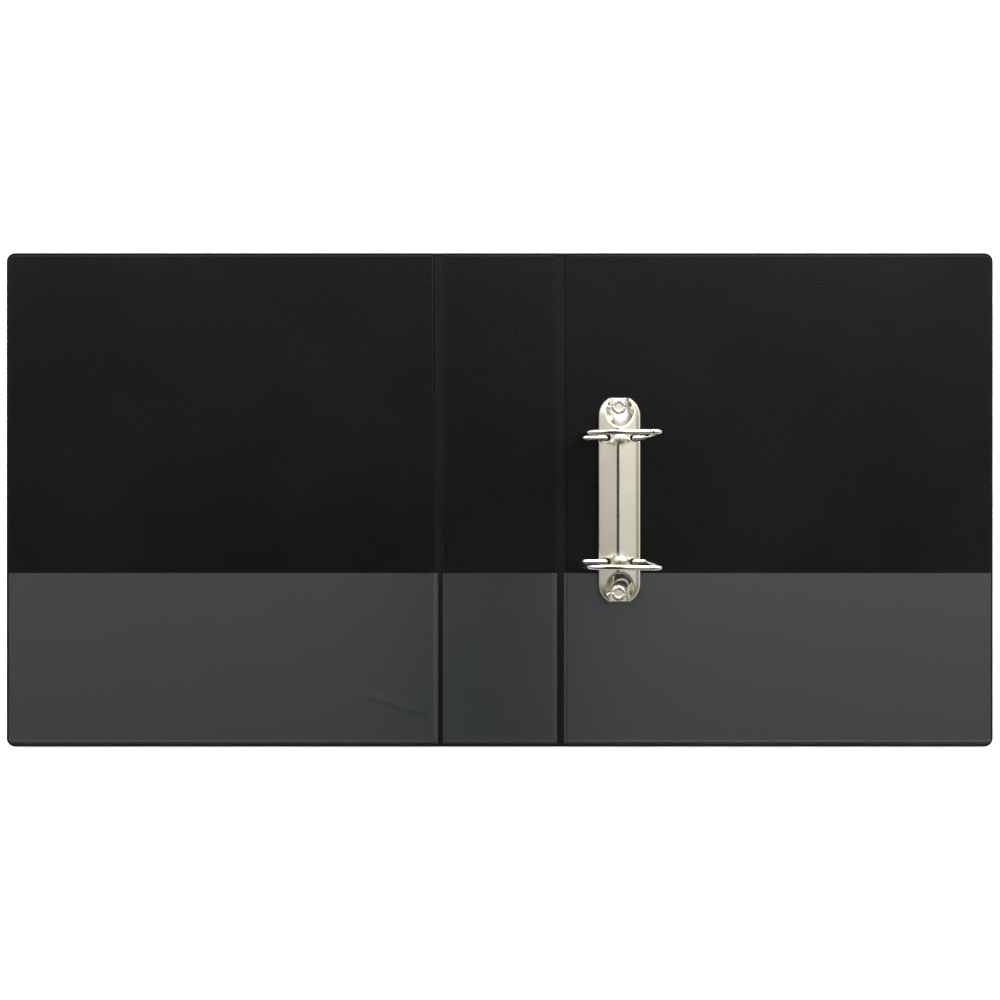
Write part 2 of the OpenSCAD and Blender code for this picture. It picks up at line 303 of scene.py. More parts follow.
def black_pvc(name, dark, light, rough_low, rough_high, grain=0.5, cells=900.0):
    finish = Finish(name, Specular_IOR_Level=0.09)
    leather = finish.use(LEATHER_GRAIN, Cells_per_Metre=cells)
    marks = finish.use(HANDLING, Patches_per_Metre=9.0)
    # Base colour: painted shade in the grain's hollows, plus random broad marks from handling
    crease_shade_and_marks = add_math(finish.tree, "MULTIPLY_ADD", leather.outputs["Crease Shade"], -0.35)
    finish.tree.links.new(marks.outputs["Broad"], crease_shade_and_marks.node.inputs[2])
    finish.feed("Base Color", add_colour_mix(finish.tree, crease_shade_and_marks, dark, light))
    finish.feed("Roughness", add_range(finish.tree, marks.outputs["Fine"], 0, 1,
                                       rough_low, rough_high))
    finish.bump(leather.outputs["Height"], grain, 0.12 * mm)
    return finish.material


def pocket_film(name):
    finish = Finish(name, Specular_IOR_Level=1.0)
    leather = finish.use(LEATHER_GRAIN, Cells_per_Metre=1100.0)
    marks = finish.use(HANDLING, Patches_per_Metre=7.0)
    finish.feed("Base Color", add_colour_mix(finish.tree, marks.outputs["Broad"],
                                             (0.022, 0.026, 0.0245), (0.020, 0.0215, 0.0245)))
    finish.feed("Alpha", add_range(finish.tree, marks.outputs["Broad"], 0, 1, 0.50, 0.54))
    finish.feed("Roughness", add_range(finish.tree, marks.outputs["Fine"], 0, 1, 0.20, 0.28))
    finish.bump(leather.outputs["Height"], 0.05, 0.04 * mm)
    return finish.material


def metal(name, dark, light, rough_low, rough_high, grain_scale, grain):
    """A metal with faint marks, drawn along the grain."""
    finish = Finish(name, Metallic=1.0)
    marks = finish.use(HANDLING, Patches_per_Metre=60.0)
    finish.feed("Base Color", add_colour_mix(finish.tree, marks.outputs["Broad"], dark, light))
    finish.feed("Roughness", add_range(finish.tree, marks.outputs["Fine"], 0, 1,
                                       rough_low, rough_high))
    drawn = add_noise(finish.tree, finish.stretched(*grain_scale), 1.0, 3, 0.6)
    finish.bump(drawn, grain, 0.05 * mm)
    return finish.material


def greyboard():
    finish = Finish("greyboard", Roughness=0.9, Specular_IOR_Level=0.2)
    fibres = add_noise(finish.tree, finish.stretched(900, 2600, 1500), 1.0, 5, 0.7)
    finish.feed("Base Color", add_colour_mix(finish.tree, fibres, (0.20, 0.19, 0.17),
                                             (0.36, 0.34, 0.30)))
    finish.bump(fibres, 0.3, 0.08 * mm)
    return finish.material


PANEL_PVC = black_pvc("black_pvc", (0.0008, 0.0008, 0.0006), (0.0024, 0.0024, 0.0020), 0.36, 0.46)
BAND_PVC = black_pvc("welded_pvc", (0.0024, 0.0024, 0.0020), (0.0042, 0.0042, 0.0036), 0.38, 0.5,
                     grain=0.25, cells=1500.0)
FILM = pocket_film("pocket_film")
PLATE_NICKEL = metal("nickel_plate", (0.62, 0.588, 0.48), (0.655, 0.624, 0.512), 0.10, 0.13,
                     (900, 60, 900), 0.12)
WIRE_NICKEL = metal("nickel_wire", (0.54, 0.515, 0.45), (0.64, 0.61, 0.54), 0.08, 0.14,
                    (420, 420, 420), 0.1)
RIVET_NICKEL = metal("rivet_nickel", (0.56, 0.54, 0.49), (0.68, 0.66, 0.60), 0.16, 0.26,
                     (1500, 1500, 1500), 0.25)
PLATED_STEEL = metal("plated_steel", (0.42, 0.41, 0.38), (0.54, 0.53, 0.49), 0.3, 0.4,
                     (1400, 90, 1400), 0.3)
GREYBOARD = greyboard()


# ---------- covers and spine ----------

# The rivets' heads sit in holes in the outer skin, and their shanks go through the
# inner one
HEAD_HOLE_R = 5.05 * mm
SHANK_HOLE_R = 2.65 * mm
HOLE_SIDES = 64
CUT_MARGIN = 1 * mm


def skin_shape(start, end, free_end):
    """The upper face of a skin over a board from start to end across the binder. A free
    end has the weld and round corners; the other ends stop at a hinge band."""
    outline_end = end if free_end else end + FLANGE_W
    outline_start = start - FLANGE_W
    bm = bmesh.new()
    made = bmesh.ops.create_grid(bm, x_segments=1, y_segments=1, size=0.5)
    for vert in made["verts"]:
        vert.co = Vector((outline_end if vert.co.x > 0 else outline_start,
                          HALF_H if vert.co.y > 0 else -HALF_H, PANEL_MID + RIM_Z))
    if free_end:
        corners = [vert for vert in bm.verts if vert.co.x == outline_end]
        bmesh.ops.bevel(bm, geom=corners, offset=CORNER_R, segments=CORNER_SEGMENTS,
                        affect="VERTICES", profile=0.5, material=-1)
    face = bm.faces[:][0]
    if face.normal.z < 0:
        bmesh.ops.reverse_faces(bm, faces=[face])
    for inset, rise in SKIN_EDGE:
        bmesh.ops.inset_region(bm, faces=[face], thickness=inset * mm, depth=rise * mm,
                               use_even_offset=True, use_boundary=True)
    cuts = [(start, -1)] + ([] if free_end else [(end, 1)])
    for place, side in cuts:
        bmesh.ops.bisect_plane(bm, geom=bm.verts[:] + bm.edges[:] + bm.faces[:],
                               plane_co=(place, 0, 0), plane_no=(side, 0, 0), clear_outer=True)
    return bm


def drill(bm_cut, radius, low, high):
    """Adds a round cutter at each rivet."""
    for side in (-1, 1):
        place = Matrix.Translation((MECH_X, side * RIVET_Y, (low + high) / 2))
        bmesh.ops.create_cone(bm_cut, cap_ends=True, segments=HOLE_SIDES, radius1=radius,
                              radius2=radius, depth=high - low, matrix=place)


def skin_piece(name, node, body, start, end, free_end, turn_over, front, hole_r=None):
    bm = skin_shape(start, end, free_end)
    bmesh.ops.solidify(bm, geom=bm.faces[:], thickness=SKIN_T)
    if front:
        bmesh.ops.scale(bm, vec=(-1, 1, 1), verts=bm.verts)
    if turn_over:
        bmesh.ops.translate(bm, vec=(0, 0, -PANEL_MID), verts=bm.verts)
        bmesh.ops.scale(bm, vec=(1, 1, -1), verts=bm.verts)
        bmesh.ops.translate(bm, vec=(0, 0, PANEL_MID), verts=bm.verts)
    bmesh.ops.recalc_face_normals(bm, faces=bm.faces)
    piece = piece_from(bm, name, PANEL_PVC)
    if hole_r:
        cutter_bm = bmesh.new()
        drill(cutter_bm, hole_r, -CUT_MARGIN, PANEL_TOP + CUT_MARGIN)
        cutter = piece_from(cutter_bm, "rivet_hole_cutter", PANEL_PVC)
        holes = piece.modifiers.new("rivet_holes", "BOOLEAN")
        holes.operation = "DIFFERENCE"
        holes.solver = "EXACT"
        holes.object = cutter
        apply_modifiers(piece)
        bpy.data.objects.remove(cutter)
    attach(piece, body)
    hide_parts(node)


for side in ("inner", "outer"):
    over = side == "outer"
    rivet_hole_r = HEAD_HOLE_R if over else SHANK_HOLE_R
    skin_piece(f"front_{side}_leather", f"front_{side}_skin", "front_cover",
               COVER_EDGE, COVER_END, True, over, True)
    skin_piece(f"spine_{side}_leather", f"spine_{side}_skin", "spine",
               -SPINE_EDGE, SPINE_EDGE, False, over, False)
    skin_piece(f"back_{side}_leather", f"back_{side}_skin", "back_cover",
               COVER_EDGE, COVER_END, True, over, False, hole_r=rivet_hole_r)


# ---------- hinge bands ----------

KNURL_PITCH = 1.3 * mm
KNURL_H = 0.10 * mm
RIB_PITCH = 0.75 * mm
FRONT_WELD = (3.2 * mm, 6.5 * mm)
BACK_WELD = (1.6 * mm, 6.2 * mm)
WELD_DEPTH = 0.10 * mm
WELD_SHOULDER = 0.3 * mm
KNURL_WEAKEST = 0.45
KNURL_WAVE = 31 * mm

# Lines pressed along a hinge band, as (place from the cover, depth, half width)
BAND_LINES = [
    (0.35 * mm, 0.24 * mm, 0.35 * mm),
    (2.3 * mm, 0.20 * mm, 0.35 * mm),
    (BAND_W - 0.35 * mm, 0.18 * mm, 0.3 * mm),
]

# The band's ends: a rounded rim with a low bead, next to a stretch that is pressed thin
END_ROUND = 0.25 * mm
END_DROP = 0.22 * mm
END_BEAD_H = 0.06 * mm
END_BEAD_Y = 1.2 * mm
END_BEAD_W = 0.7 * mm
THIN_SHARE = 0.28
THIN_FADE = (3 * mm, 5 * mm)
THICK_RIM = (0.8 * mm, 0.9 * mm)


def band_height(across, along, weld):
    """Half the thickness of a hinge band. across runs from the cover to the spine."""
    weld_start, weld_end = weld
    half = SKIN_T
    for place, depth, width in BAND_LINES:
        half -= depth * hump(across, place, width)
    in_weld = (smooth_step(weld_start - WELD_SHOULDER, weld_start, across)
               * (1 - smooth_step(weld_end, weld_end + WELD_SHOULDER, across)))
    half -= WELD_DEPTH * in_weld
    ribs = math.cos(2 * math.pi * across / RIB_PITCH)
    dots = math.cos(2 * math.pi * along / KNURL_PITCH)
    strength = KNURL_WEAKEST + (1 - KNURL_WEAKEST) * math.sin(along / KNURL_WAVE) ** 2
    half += KNURL_H * in_weld * strength * (0.5 * ribs + 0.5 * ribs * dots)
    edge = HALF_H - abs(along)
    half += END_BEAD_H * hump(edge, END_BEAD_Y, END_BEAD_W)
    half -= END_DROP * (1 - smooth_step(0, END_ROUND, edge))
    full = smooth_step(*THIN_FADE, edge) + hump(edge, *THICK_RIM)
    half *= 1 - THIN_SHARE + THIN_SHARE * full
    return half


def hinge_band(name, node, side, weld):
    bm = bmesh.new()
    xs = evenly(0, BAND_W, RIB_PITCH / 4)
    rows = evenly(-HALF_H, HALF_H, KNURL_PITCH / 4)
    sheet_grid(bm, xs, rows)
    upper = bmesh.ops.extrude_face_region(bm, geom=bm.faces[:])
    top = {item for item in upper["geom"] if isinstance(item, bmesh.types.BMVert)}
    for vert in bm.verts:
        half = band_height(vert.co.x, vert.co.y, weld)
        vert.co.z = PANEL_MID + (half if vert in top else -half)
        vert.co.x = side * (COVER_EDGE - vert.co.x)
    bmesh.ops.recalc_face_normals(bm, faces=bm.faces)
    piece = piece_from(bm, name, BAND_PVC, sharp=60)
    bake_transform(piece)
    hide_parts(node)


hinge_band("front_hinge_band", "front_hinge_weld", -1, FRONT_WELD)
hinge_band("back_hinge_band", "back_hinge_weld", 1, BACK_WELD)


# ---------- pocket films ----------

FILM_SHEET_T = 0.12 * mm
FILM_GAP = 0.03 * mm
FILM_FOOT = FLANGE_W - 0.6 * mm
HINGE_FALL = 0.3 * mm
HINGE_FALL_RUN = 0.9 * mm
OUTER_FALL = (0.45 * mm, 1.35 * mm)
OUTER_FALL_POWER = 1.4
FILM_STEP_X = 2.2 * mm
FILM_STEP_Y = 0.6 * mm
FINE_STEP = 0.14 * mm
FINE_LINES = 19


def film_drop(inside, from_hinge):
    """How far the film hangs below its flat part, from its distances to the outer edges
    and to the hinge bands, where it runs on in the hem."""
    fall = PANEL_TOP - BAND_TOP
    outer = fall * (1 - smooth_step(*OUTER_FALL, inside)) ** OUTER_FALL_POWER
    hinge = HINGE_FALL * (1 - smooth_step(0, HINGE_FALL_RUN, from_hinge))
    return max(outer, hinge)


def edge_places(low, high, step, high_edge=True):
    """Grid lines that are close together along the draped edges."""
    fine = [i * FINE_STEP for i in range(FINE_LINES)]
    start = [low + f for f in fine]
    finish = [high - f for f in reversed(fine)] if high_edge else [high]
    return start[:-1] + evenly(start[-1], finish[0], step) + finish[1:]


def film_piece(name, node, body, start, end, free_end, front, creases):
    """creases gives the extra height at (x, y); x is measured on the +X side."""
    low_y = -HALF_H + FILM_FOOT
    outer = end - FILM_FOOT if free_end else end
    bm = bmesh.new()
    xs = edge_places(start, outer, FILM_STEP_X)
    ys = edge_places(low_y, POCKET_TOP_Y, FILM_STEP_Y, high_edge=False)
    corner_r = CORNER_R - FILM_FOOT
    for vert in sheet_grid(bm, xs, ys):
        x, y = vert.co.x, vert.co.y
        from_outer = outer - x
        from_low = y - low_y
        from_hinge = x - start if free_end else min(x - start, from_outer)
        inside = min(from_outer, from_low) if free_end else from_low
        if free_end and from_outer < corner_r and from_low < corner_r:
            a = 1 - from_outer / corner_r
            b = 1 - from_low / corner_r
            inside = corner_r * (1 - max(a, b))
            vert.co.x = outer - corner_r + corner_r * a * math.sqrt(1 - b * b / 2)
            vert.co.y = low_y + corner_r - corner_r * b * math.sqrt(1 - a * a / 2)
        lift = FILM_GAP + FILM_SHEET_T + creases(x, y)
        vert.co.z = PANEL_TOP + lift - film_drop(inside, from_hinge)
    bmesh.ops.solidify(bm, geom=bm.faces[:], thickness=FILM_SHEET_T)
    if front:
        bmesh.ops.scale(bm, vec=(-1, 1, 1), verts=bm.verts)
    bmesh.ops.recalc_face_normals(bm, faces=bm.faces)
    piece = piece_from(bm, name, FILM, body, sharp=50)
    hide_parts(node)


DASH_WAVE = 0.45 * mm
DRIFT_WAVE = 11 * mm
DRIFT = 3

# Beads in the film, each as (height, distance in from the edge, half width)
LOWER_BEAD = (0.16 * mm, 3.6 * mm, 0.5 * mm)
SPINE_BEAD = (0.22 * mm, 1.4 * mm, 0.5 * mm)
BACK_BEAD = (0.05 * mm, 4.5 * mm, 0.8 * mm)

# A slanting fold in the front cover's film
FOLD_H = 0.3 * mm
FOLD_SLOPE = 0.35
FOLD_Y = 158 * mm
FOLD_W = 2.2 * mm
FOLD_START = (44 * mm, 60 * mm)
FOLD_END = (75 * mm, 100 * mm)


def dashes(along):
    """Uneven short waves along a weld, from 0 to 1."""
    return 0.5 + 0.5 * math.sin(along / DASH_WAVE + DRIFT * math.sin(along / DRIFT_WAVE))


def bead(bead_size, place, edge):
    height, inset, width = bead_size
    return height * hump(place, edge - inset, width)


def front_creases(x, y):
    fold = FOLD_H * hump(x * FOLD_SLOPE - y, FOLD_Y, FOLD_W) * smooth_step(*FOLD_START, x)
    return fold * (1 - smooth_step(*FOLD_END, x)) + bead(LOWER_BEAD, -y, HALF_H)


def spine_creases(x, y):
    return dashes(y) * bead(SPINE_BEAD, x, SPINE_EDGE) + bead(LOWER_BEAD, -y, HALF_H)


def back_creases(x, y):
    return dashes(y) * bead(BACK_BEAD, x, COVER_END) + bead(LOWER_BEAD, -y, HALF_H)


film_piece("front_pocket_sheet", "front_pocket_film", "front_cover", COVER_EDGE, COVER_END,
           True, True, front_creases)
film_piece("spine_pocket_sheet", "spine_pocket_film", "spine", -SPINE_EDGE, SPINE_EDGE,
           False, False, spine_creases)
film_piece("back_pocket_sheet", "back_pocket_film", "back_cover", COVER_EDGE, COVER_END,
           True, False, back_creases)


HEM_GAP = 0.04 * mm
HEM_RIB_H = 0.02 * mm
HEM_RISE = 2 * mm
HEM_SLOPE = (-0.3, 1)
HEM_BEAD = (0.16 * mm, 0.3 * mm, 0.4 * mm)


def hem_height(across, along, weld):
    """Height of the film over the band, as it comes down from a panel to the weld."""
    from_panel = across if across <= weld[0] else BAND_W - across
    run = weld[0] if across <= weld[0] else BAND_W - weld[1]
    from_low = along + HALF_H - FLANGE_W
    fall = PANEL_TOP - BAND_TOP - HINGE_FALL
    slope = fall * (1 - smooth_step(*HEM_SLOPE, from_panel / run))
    slope *= smooth_step(0, HEM_RISE, from_low)
    rib = HEM_RIB_H * math.cos(2 * math.pi * across / RIB_PITCH)
    dashed = dashes(along) * bead(HEM_BEAD, across, weld[0])
    return BAND_TOP + FILM_SHEET_T + HEM_GAP + slope + rib + dashed


def film_hem(name, side, weld):
    """The films' welded edges, which lie on the hinge band on both sides of the weld."""
    bm = bmesh.new()
    ys = evenly(-HALF_H + FLANGE_W, POCKET_TOP_Y, KNURL_PITCH / 2)
    for low, high in ((0, weld[0]), (weld[1], BAND_W)):
        for vert in sheet_grid(bm, evenly(low, high, RIB_PITCH / 4), ys):
            vert.co.z = hem_height(vert.co.x, vert.co.y, weld)
            vert.co.x = side * (COVER_EDGE - vert.co.x)
    if side > 0:
        bmesh.ops.reverse_faces(bm, faces=bm.faces[:])
    bmesh.ops.solidify(bm, geom=bm.faces[:], thickness=FILM_SHEET_T)
    bmesh.ops.recalc_face_normals(bm, faces=bm.faces)
    piece = piece_from(bm, name, FILM, sharp=60)
    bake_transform(piece)


film_hem("front_film_hem", -1, FRONT_WELD)
film_hem("back_film_hem", 1, BACK_WELD)


# ---------- mechanism: cover plate ----------

PLATE_T = 0.8 * mm
PLATE_H = 9.2 * mm
EDGE_H = 4.2 * mm
LEDGE_W = 0.7 * mm
ARCH_W = PLATE_HALF_W - LEDGE_W
ARCH_R = (ARCH_W ** 2 + (PLATE_H - EDGE_H) ** 2) / (2 * (PLATE_H - EDGE_H))
END_CENTRE = PLATE_END_Y - PLATE_HALF_W + 1.3 * mm
SEAT_R = 5.3 * mm
SEAT_FLAT = 5.9 * mm
DISH_R = 10.8 * mm
DISH_SHIFT = 3.5 * mm
DISH_MARGIN = 2 * mm
DISH_POWER = 1.25
DISH_BLEND = 0.7 * mm
SHARE_LIMIT = 1.6
SHARE_STEPS = 24
SEAT_SHARE = 0.05
DIMPLE_R = 5.5 * mm
DIMPLE_H = 1.1 * mm
DIMPLE_SHIFT = 0.5 * mm
DIMPLE_BLEND = 0.5 * mm
PLATE_STEP_ACROSS = 0.03
PLATE_STEP_ALONG = 0.42 * mm
WALL_SHARES = [0.0, 0.35, 0.7, 0.9]
PLATE_RIM = 0.12 * mm
SLOT_X = 6 * mm
SLOT_W = 4.6 * mm
SLOT_Z = 3.6 * mm


def arch_height(r):
    """Height of the plate's outside, this far from its middle line."""
    arch = math.sqrt(max(ARCH_R ** 2 - r * r, 0)) - (ARCH_R - PLATE_H)
    ledge = EDGE_H
    if r < ARCH_W:
        return max(arch, ledge)
    return ledge


def dish_share(x, y):
    """Where a place lies in the end's dish: 0 at the rivet's seat, 1 at the rim."""
    low, high = 0.0, SHARE_LIMIT
    for _ in range(SHARE_STEPS):
        share = (low + high) / 2
        centre = RIVET_Y - share * DISH_SHIFT
        radius = SEAT_R + share * (DISH_R - SEAT_R)
        if math.hypot(x, y - centre) > radius:
            low = share
        else:
            high = share
    return high


def plate_height(x, y):
    y = abs(y)
    r = math.hypot(x, max(0, y - END_CENTRE))
    height = arch_height(r)
    far = math.hypot(x, y - (RING_Y - DIMPLE_SHIFT))
    if far < DIMPLE_R:
        dome = math.sqrt(DIMPLE_R ** 2 - far * far) + PLATE_H + DIMPLE_H - DIMPLE_R
        height = -soft_min(-height, -dome, DIMPLE_BLEND)
    if y > RIVET_Y - DISH_SHIFT - DISH_R - DISH_MARGIN:
        share = dish_share(x, y)
        if y > RIVET_Y and abs(x) < SEAT_FLAT:
            flat = max(0, (abs(x) - SEAT_R) / (SEAT_FLAT - SEAT_R))
            share = min(share, flat * SEAT_SHARE)
        dish = PLATE_T + (PLATE_H - PLATE_T) * max(0, share) ** DISH_POWER
        height = soft_min(height, dish, DISH_BLEND)
    return height


def cover_plate():
    # Places across: up one wall, over the ledge and the arch, down the other wall
    across = [-1 - (1 - w) for w in WALL_SHARES]
    across += evenly(-1, 1, PLATE_STEP_ACROSS)
    across += [1 + (1 - w) for w in reversed(WALL_SHARES)]
    bm = bmesh.new()
    rows = evenly(-PLATE_END_Y, PLATE_END_Y, PLATE_STEP_ALONG)
    verts = sheet_grid(bm, across, rows)
    for vert in verts:
        u, y = vert.co.x, vert.co.y
        past = max(0, abs(y) - END_CENTRE)
        half = math.sqrt(PLATE_HALF_W ** 2 - past * past)
        x = max(-1, min(1, u)) * half
        top = plate_height(x, y)
        if abs(u) <= 1:
            vert.co = Vector((x, y, top))
        else:
            vert.co = Vector((x, y, top * (2 - abs(u))))
    return bm


def in_slot(x, y):
    """Distance inside a ring slot's outline; negative outside."""
    r = SLOT_W / 2
    dy = abs(y) - RING_Y
    dx = min(0, abs(x) - (SLOT_X + r))
    return r - math.hypot(dx, dy)


# How near to a slot's outline a loose edge has to be, to be drawn onto it
NEAR_Y = 0.5 * mm
NEAR_X = 0.6 * mm
NEAR_Z = 0.9 * mm
ON_WALL = 0.05 * mm
OFF_CORNER = 0.25 * mm


def cut_slots(bm):
    gone = [face for face in bm.faces
            if in_slot(*face.calc_center_median().xy) > 0 and face.calc_center_median().z > SLOT_Z]
    bmesh.ops.delete(bm, geom=gone, context="FACES")
    r = SLOT_W / 2
    for vert in bm.verts:
        near = abs(abs(vert.co.y) - RING_Y) < r + NEAR_Y and abs(vert.co.x) > SLOT_X - NEAR_X
        if not near or not vert.is_boundary or vert.co.z < SLOT_Z - NEAR_Z:
            continue
        side_y = 1 if vert.co.y > 0 else -1
        side_x = 1 if vert.co.x > 0 else -1
        dy = abs(vert.co.y) - RING_Y
        dx = abs(vert.co.x) - (SLOT_X + r)
        if abs(vert.co.z - SLOT_Z) < NEAR_Z and abs(vert.co.x) > PLATE_HALF_W - ON_WALL:
            if abs(dy) < r - OFF_CORNER:
                vert.co.z = SLOT_Z
                continue
        if dx < 0:
            length = math.hypot(dx, dy)
            x = SLOT_X + r + dx / length * r
            y = RING_Y + dy / length * r
            vert.co.x, vert.co.y = side_x * x, side_y * y
            vert.co.z = plate_height(x, y)
        else:
            vert.co.y = side_y * (RING_Y + math.copysign(r, dy))


def cover_plate_piece():
    bm = cover_plate()
    cut_slots(bm)
    bmesh.ops.translate(bm, vec=(MECH_X, 0, MECH_Z), verts=bm.verts)
    bmesh.ops.recalc_face_normals(bm, faces=bm.faces)
    piece = piece_from(bm, "mechanism_plate", PLATE_NICKEL, sharp=40)
    wall = piece.modifiers.new("sheet", "SOLIDIFY")
    wall.thickness = PLATE_T
    wall.offset = -1
    rim = piece.modifiers.new("rolled_rim", "BEVEL")
    rim.width = PLATE_RIM
    rim.segments = 2
    rim.limit_method = "ANGLE"
    rim.angle_limit = math.radians(50)
    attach(piece, "back_cover")
    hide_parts("mechanism_cover_plate")


cover_plate_piece()


# ---------- mechanism: rings ----------

WIRE_R = 1.6 * mm
WIRE_SIDES = 32
FOOT_X = 8 * mm
PIVOT_X = 12 * mm
PIVOT_Z = 2.7 * mm
REST_TILT = math.radians(6)
FOOT_Z = PIVOT_Z - (PIVOT_X - FOOT_X) * math.tan(REST_TILT) - 0.25 * mm
ROOT_BEND = 2.2 * mm
STRAND_Z = 6.5 * mm
RING_H = 50 * mm
POST_X = 17.4 * mm
CURVE_X = 27.5 * mm
SEAM_X = 10.8 * mm
SLOPE = math.radians(6)
LEAN = math.radians(10)
POST_BOTTOM_R = 5 * mm
POST_TOP_R = 4 * mm
CURVE_BOTTOM_R = 4 * mm
CURVE_TOP_R = 8 * mm
TIP_ROUND = 0.35 * mm
TIP_CUT = TIP_ROUND + 0.05 * mm
TIP_SHARES = (0.35, 0.7, 1.0)
WIDE_BEND_R = 50 * mm
WIDE_BEND_STEP = math.radians(4)
BEND_STEP = math.radians(7.5)
BEND_LENGTH = 2.5 * mm

post_end_z = STRAND_Z + RING_H - POST_TOP_R
post_run_x = POST_X - POST_TOP_R * (1 + math.sin(SLOPE))
seam_z = (post_end_z + POST_TOP_R * math.cos(SLOPE)
          - (post_run_x - SEAM_X) * math.tan(SLOPE))
bulge_share = 1 - math.cos(LEAN)
reach = SEAM_X + CURVE_X - CURVE_TOP_R * (math.cos(LEAN) - math.sin(SLOPE))
climb = (seam_z - STRAND_Z - CURVE_BOTTOM_R * (1 - math.sin(LEAN))
         - CURVE_TOP_R * (math.cos(SLOPE) - math.sin(LEAN)))
side_r = ((climb - reach * math.tan(SLOPE))
          / (2 * math.sin(LEAN) - bulge_share * math.tan(SLOPE)))
upper_run = (reach - side_r * bulge_share) / math.cos(SLOPE)
low_end_x = CURVE_X - side_r * bulge_share - CURVE_BOTTOM_R * math.cos(LEAN)

# Each step is (length,) for a straight run, or (radius, angle) for a bend, to the
# left if positive
STRAIGHT_STEPS = [
    (STRAND_Z - ROOT_BEND - FOOT_Z,),
    (ROOT_BEND, -math.pi / 2),
    (POST_X - POST_BOTTOM_R - FOOT_X - ROOT_BEND,),
    (POST_BOTTOM_R, math.pi / 2),
    (post_end_z - STRAND_Z - POST_BOTTOM_R,),
    (POST_TOP_R, math.pi / 2 + SLOPE),
    ((post_run_x - SEAM_X) / math.cos(SLOPE) - TIP_CUT,),
]
CURVED_STEPS = [
    (STRAND_Z - ROOT_BEND - FOOT_Z,),
    (ROOT_BEND, math.pi / 2),
    (low_end_x - FOOT_X - ROOT_BEND,),
    (CURVE_BOTTOM_R, LEAN - math.pi / 2),
    (side_r, -2 * LEAN),
    (CURVE_TOP_R, LEAN + SLOPE - math.pi / 2),
    (upper_run - TIP_CUT,),
]


def grow_rim(bm, rim):
    """Extrudes the wire's open end; gives the new vertices and the new open end."""
    grown = bmesh.ops.extrude_edge_only(bm, edges=rim)
    verts = [item for item in grown["geom"] if isinstance(item, bmesh.types.BMVert)]
    edges = [item for item in grown["geom"] if isinstance(item, bmesh.types.BMEdge)
             and all(v in verts for v in item.verts)]
    return verts, edges


def bent_wire(steps, foot):
    """Wire bent in the XZ plane, upwards from its foot."""
    bm = bmesh.new()
    here = Vector(foot)
    heading = Vector((0, 0, 1))
    ring = bmesh.ops.create_circle(bm, cap_ends=True, segments=WIRE_SIDES, radius=WIRE_R)
    bmesh.ops.translate(bm, vec=here, verts=ring["verts"])
    rim = [edge for edge in bm.edges]
    for step in steps:
        if len(step) == 1:
            verts, rim = grow_rim(bm, rim)
            bmesh.ops.translate(bm, vec=heading * step[0], verts=verts)
            here = here + heading * step[0]
        else:
            radius, turn = step
            left = Vector((-heading.z, 0, heading.x))
            centre = here + left * math.copysign(radius, turn)
            step_angle = WIDE_BEND_STEP if radius > WIDE_BEND_R else BEND_STEP
            count = max(4, round(abs(turn) / step_angle))
            count = max(count, round(abs(turn) * radius / BEND_LENGTH))
            grown = bmesh.ops.spin(bm, geom=rim, cent=centre, axis=(0, -1, 0), angle=turn,
                                   steps=count, use_merge=False, use_normal_flip=False)
            rim = [item for item in grown["geom_last"] if isinstance(item, bmesh.types.BMEdge)]
            spun = Matrix.Rotation(turn, 3, Vector((0, -1, 0)))
            here = centre + spun @ (here - centre)
            heading = spun @ heading
    # The rounded tip
    for share in TIP_SHARES:
        verts, rim = grow_rim(bm, rim)
        ahead = here + heading * TIP_ROUND * math.sin(share * math.pi / 2)
        shrink = 1 - (1 - math.cos(share * math.pi / 2)) * TIP_ROUND / WIRE_R
        middle = sum((v.co for v in verts), Vector()) / len(verts)
        wide = WIRE_R * shrink
        for vert in verts:
            vert.co = ahead + (vert.co - middle).normalized() * wide
    bmesh.ops.edgeloop_fill(bm, edges=rim)
    bmesh.ops.remove_doubles(bm, verts=bm.verts, dist=1e-7)
    bmesh.ops.recalc_face_normals(bm, faces=bm.faces)
    return bm


def ring_half(name, steps, side, ring_y, body):
    foot = (MECH_X + side * FOOT_X, ring_y, MECH_Z + FOOT_Z)
    piece = piece_from(bent_wire(steps, foot), name + "_wire", WIRE_NICKEL, body, sharp=50)
    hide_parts(name)


for level, sign in (("upper", 1), ("lower", -1)):
    ring_half(f"{level}_curved_ring_half", CURVED_STEPS, -1, sign * RING_Y, "curved_rings")
    ring_half(f"{level}_straight_ring_half", STRAIGHT_STEPS, 1, sign * RING_Y, "straight_rings")


# ---------- mechanism: rivets ----------

SHANK_R = 2.6 * mm
HOLLOW_R = 2.1 * mm
HEAD_R = 5 * mm
HEAD_T = 0.8 * mm
SPLITS = 6
SPLIT_TURN = 0.6
SPLIT_POWER = 24
SPLIT_DEPTH = 0.75
SPLIT_PULL = 0.12
HOLLOW_FLOOR = 1.6 * mm
RIVET_SIDES = 96
ROLL_SIDES = 14


